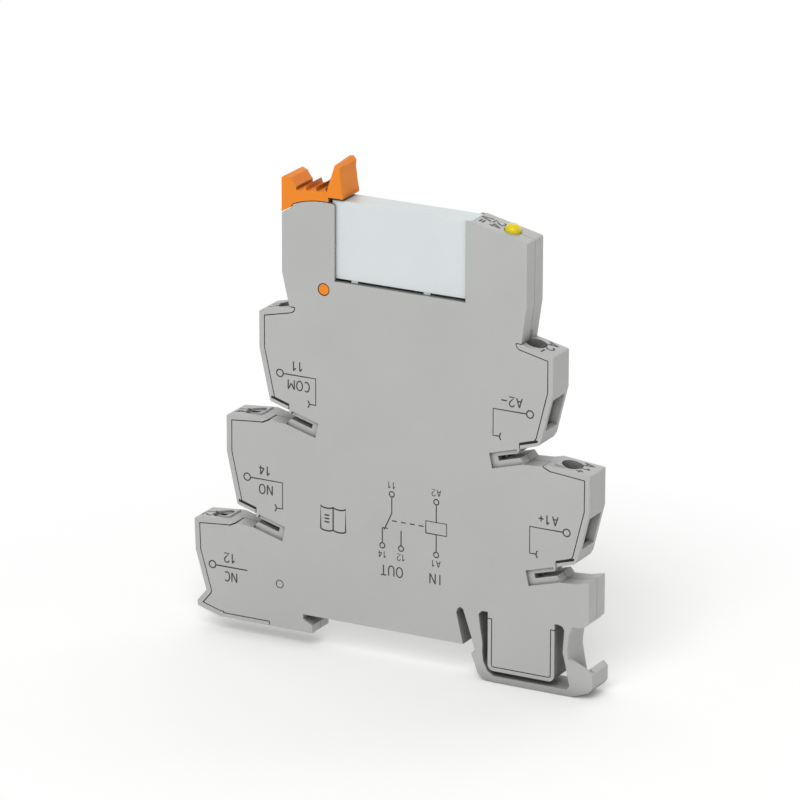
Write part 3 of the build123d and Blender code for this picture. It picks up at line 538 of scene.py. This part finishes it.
def circuit_sign(x, z):
    """A coil and the changeover contact that it moves, with the terminals' numbers."""
    coil_x, contact_x = x + 4.6 * MM, x - 4.4 * MM
    coil_wide, coil_high = 4.2 * MM, 2.3 * MM
    reach, pin = 5.0 * MM, 0.5 * MM             # to the middles of the pins' rings, and their radius
    fan = 1.9 * MM                              # from the contact's middle to each of its two ends
    hinge_z, end_z, tip_z = z + 1.4 * MM, z - 1.6 * MM, z - 1.9 * MM

    runs = [oblong(coil_x, z, coil_wide, coil_high)]
    for way in (-1, 1):
        runs.append([(coil_x, z + way * coil_high / 2), (coil_x, z + way * (reach - pin))])
        runs.append(ring(coil_x, z + way * reach, pin))
        end_x = contact_x + way * fan
        runs.append([(end_x, end_z), (end_x, z - reach + pin)])
        runs.append(ring(end_x, z - reach, pin))
    runs.append([(contact_x - fan, end_z), (contact_x - 0.4 * fan, end_z)])
    runs.append([(contact_x, z + reach - pin), (contact_x, hinge_z), (contact_x - 0.8 * fan, tip_z)])
    runs.append(ring(contact_x, z + reach, pin))

    dashes = 4                                  # of the line that shows what the coil moves
    start, end = contact_x - 0.3 * MM, coil_x - coil_wide / 2
    step = (end - start) / dashes
    for i in range(dashes):
        runs.append([(start + (i + 0.2) * step, z), (start + (i + 0.75) * step, z)])
    front_lines("circuit_sign", runs, SIGN_LINE)

    over, under = z + reach + 1.7 * MM, z - reach - 1.7 * MM
    labels = (
        ("a1", "A1", coil_x, under),
        ("a2", "A2", coil_x, over),
        ("common", "11", contact_x, over),
        ("open", "14", contact_x - fan, under),
        ("closed", "12", contact_x + fan, under),
    )
    for name, text, label_x, label_z in labels:
        front_words("sign_" + name, text, label_x, label_z, 1.25 * MM, 0.17 * MM)
    word_z, word_high = under - 2.9 * MM, 1.9 * MM
    front_words("sign_in", "IN", coil_x, word_z, word_high)
    front_words("sign_out", "OUT", contact_x, word_z, word_high)


front_lines("pip_mark", [ring(PIP_X, PIP_Z, PIP_RADIUS)], PIP_LINE)
open_book(BOOK_X, BOOK_Z)
circuit_sign(SIGN_X, SIGN_Z)


# Studio

AMBIENT = 0.4
FLOOR_HALF = 2.0
FLOOR_GAP = 0.02 * MM           # under the module's lowest point
FLOOR_LIFT = 0.08               # light that the floor adds of its own, so that its shadow stays pale
WHITE_FROM, WHITE_AT = 0.055, 0.11      # how far out the floor starts to fade, and is plain white


def seen_directly(tree):
    """1 for rays that show the background to the camera, to a gloss or through clear plastic."""
    path = tree.nodes.new("ShaderNodeLightPath")
    value = path.outputs["Is Camera Ray"]
    for name in ("Is Glossy Ray", "Is Transmission Ray"):
        either = tree.nodes.new("ShaderNodeMath")
        either.operation = "MAXIMUM"
        tree.links.new(value, either.inputs[0])
        tree.links.new(path.outputs[name], either.inputs[1])
        value = either.outputs["Value"]
    return value


def make_world():
    """Even light from all round, which shows as plain white."""
    world = bpy.data.worlds.new("studio")
    scene.world = world
    world.use_nodes = True
    tree = world.node_tree
    light = tree.nodes["Background"]
    light.inputs["Color"].default_value = (1, 1, 1, 1)
    light.inputs["Strength"].default_value = AMBIENT
    white = tree.nodes.new("ShaderNodeBackground")
    white.inputs["Color"].default_value = (1, 1, 1, 1)
    mix = tree.nodes.new("ShaderNodeMixShader")
    tree.links.new(seen_directly(tree), mix.inputs["Fac"])
    tree.links.new(light.outputs["Background"], mix.inputs[1])
    tree.links.new(white.outputs["Background"], mix.inputs[2])
    tree.links.new(mix.outputs["Shader"], tree.nodes["World Output"].inputs["Surface"])


def floor_finish():
    """Pale matt surface that keeps the shadow near the object, runs out to white and is clear from below."""
    g = Graph("pale_floor")
    tree = g.tree
    tree.nodes.remove(g.shader)
    seen = seen_directly(tree)
    pale = g.shaded(tone(250, 250, 249), g.between(g.noise(8 * MM), 0.995, 1.005))
    matt = g.add("ShaderNodeBsdfDiffuse", {"Color": pale}).outputs["BSDF"]
    lift = g.add("ShaderNodeEmission", {"Strength": g.product(seen, FLOOR_LIFT)}).outputs["Emission"]
    lifted = g.add("ShaderNodeAddShader", {0: matt, 1: lift}).outputs["Shader"]
    away = g.add("ShaderNodeVectorMath", {0: g.place}, operation="LENGTH").outputs["Value"]
    far = g.product(seen, g.between(away, 0.0, 1.0, start=WHITE_FROM, end=WHITE_AT))
    white = g.add("ShaderNodeEmission").outputs["Emission"]
    upper = g.add("ShaderNodeMixShader", {"Fac": far, 1: lifted, 2: white}).outputs["Shader"]
    below = g.add("ShaderNodeNewGeometry").outputs["Backfacing"]
    clear = g.add("ShaderNodeBsdfTransparent").outputs["BSDF"]
    both = g.add("ShaderNodeMixShader", {"Fac": below, 1: upper, 2: clear}).outputs["Shader"]
    tree.links.new(both, tree.nodes["Material Output"].inputs["Surface"])
    return g.material


def make_floor():
    mesh = bpy.data.meshes.new("floor")
    corners = [(-FLOOR_HALF, -FLOOR_HALF, 0), (FLOOR_HALF, -FLOOR_HALF, 0),
               (FLOOR_HALF, FLOOR_HALF, 0), (-FLOOR_HALF, FLOOR_HALF, 0)]
    mesh.from_pydata(corners, [], [(0, 1, 2, 3)])
    mesh.materials.append(floor_finish())
    floor = bpy.data.objects.new("floor", mesh)
    floor.location = (0, 0, FLOOR_Z - FLOOR_GAP)
    scene.collection.objects.link(floor)


LAMP_DISTANCE = 1.2


def make_lamp(name, direction, level, size):
    """A square soft light. level is what it adds to a face turned to it: 1 shows a colour as written."""
    data = bpy.data.lights.new(name, "AREA")
    data.shape = "SQUARE"
    data.size = size
    data.energy = level * pi * pi * LAMP_DISTANCE ** 2
    lamp = bpy.data.objects.new(name, data)
    way = Vector(direction).normalized()
    lamp.location = middle("front_shell") + way * LAMP_DISTANCE
    lamp.rotation_mode = "QUATERNION"
    lamp.rotation_quaternion = way.to_track_quat("Z", "Y")
    scene.collection.objects.link(lamp)


make_world()
make_floor()
make_lamp("key", (0.16, -0.6, 0.55), level=0.64, size=0.8)
make_lamp("fill", (-0.45, 0.45, 0.77), level=0.2, size=1.2)
make_lamp("back", (0.2, 0.88, 0.42), level=0.26, size=1.2)


# Camera: long lens, fitted to the photograph's corners

LENS, SENSOR = 300, 36
AZIMUTH = radians(27.984)
ELEVATION = radians(18.259)
ROLL = radians(0.148)
DISTANCE = 1189.8 * MM
TARGET = Vector((0.565 * MM, 0, 42.86 * MM))


def make_camera():
    data = bpy.data.cameras.new("camera")
    data.lens = LENS
    data.sensor_width = SENSOR
    data.clip_start = 0.05
    data.clip_end = 50
    back = Vector((sin(AZIMUTH) * cos(ELEVATION), -cos(AZIMUTH) * cos(ELEVATION), sin(ELEVATION)))
    level = Vector((cos(AZIMUTH), sin(AZIMUTH), 0))
    upright = back.cross(level)
    right = level * cos(ROLL) + upright * sin(ROLL)
    up = upright * cos(ROLL) - level * sin(ROLL)
    turn = Matrix((right, up, back)).transposed().to_4x4()
    camera = bpy.data.objects.new("camera", data)
    camera.matrix_world = Matrix.Translation(TARGET + back * DISTANCE) @ turn
    scene.collection.objects.link(camera)
    scene.camera = camera


make_camera()
scene.view_settings.view_transform = "Standard"
